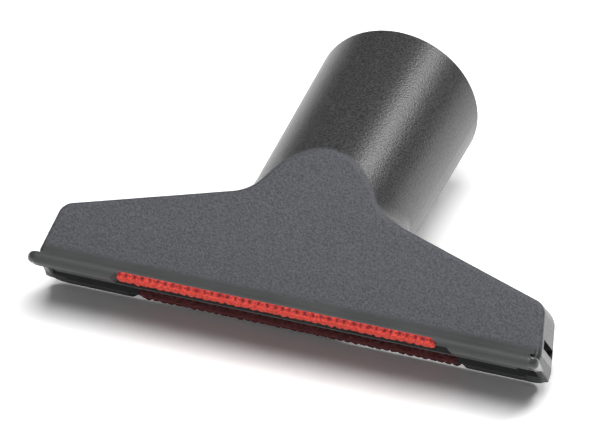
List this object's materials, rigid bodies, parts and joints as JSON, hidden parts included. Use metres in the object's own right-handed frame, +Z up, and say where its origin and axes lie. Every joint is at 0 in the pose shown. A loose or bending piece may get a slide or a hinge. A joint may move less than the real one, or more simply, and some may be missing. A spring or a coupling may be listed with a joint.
{
  "type": "vacuum upholstery nozzle",
  "caption": "Small T-shaped vacuum nozzle: round tube socket, flat sloping hood and wide flared mouth with velvet thread-lifter strips on its lips.",
  "frame": {"origin": "on the floor below the middle of the part's bounding box, as it lies on its socket and its lower lip", "axes": "+X along the mouth, +Y from the mouth towards the socket's open end, +Z up from the floor"},
  "size_m": [0.1178, 0.0842, 0.0384],
  "materials": {
    "plastic": "fine spark-eroded grain",
    "velvet": "short directional pile"
  },
  "bodies": {
    "root": {"nozzle_body": "plastic", "upper_thread_lifter": "velvet", "lower_thread_lifter": "velvet"}
  },
  "joints": []
}
